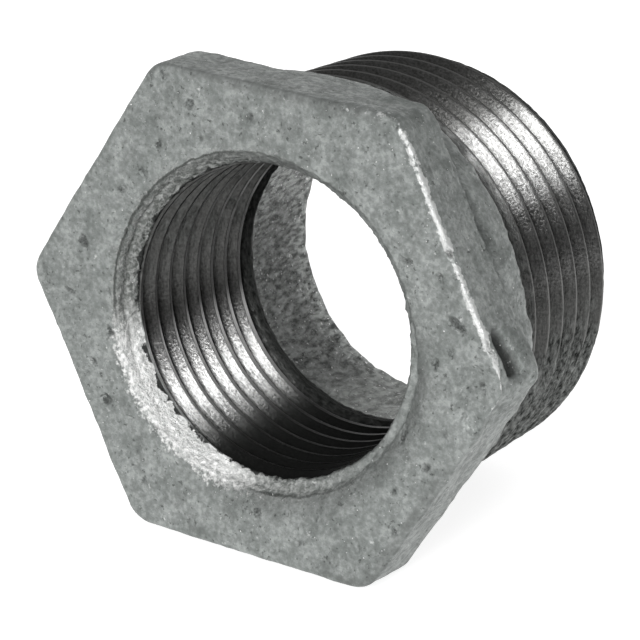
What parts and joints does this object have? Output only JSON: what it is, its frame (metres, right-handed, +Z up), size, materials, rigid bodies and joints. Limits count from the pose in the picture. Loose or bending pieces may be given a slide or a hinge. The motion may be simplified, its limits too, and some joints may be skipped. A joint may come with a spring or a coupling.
{
  "type": "hexagon reducing bush",
  "caption": "Hexagon reducing bush for threaded steel pipe: a hexagon head with a female thread, and a stem with a tapered male thread.",
  "frame": {"origin": "centre of the bounding box, on the surface that the bush lies on", "axes": "+X along the flat that it lies on, +Y from the mouth towards the stem's end, +Z up; the bush's own axis dips by the resting tilt from +Y"},
  "size_m": [0.0414, 0.0278, 0.0367],
  "materials": {
    "galvanised_iron": "hot-dip galvanised casting, mottled matt grey, with bare machined threads"
  },
  "bodies": {
    "root": {"hex_bushing": "galvanised_iron"}
  },
  "joints": []
}
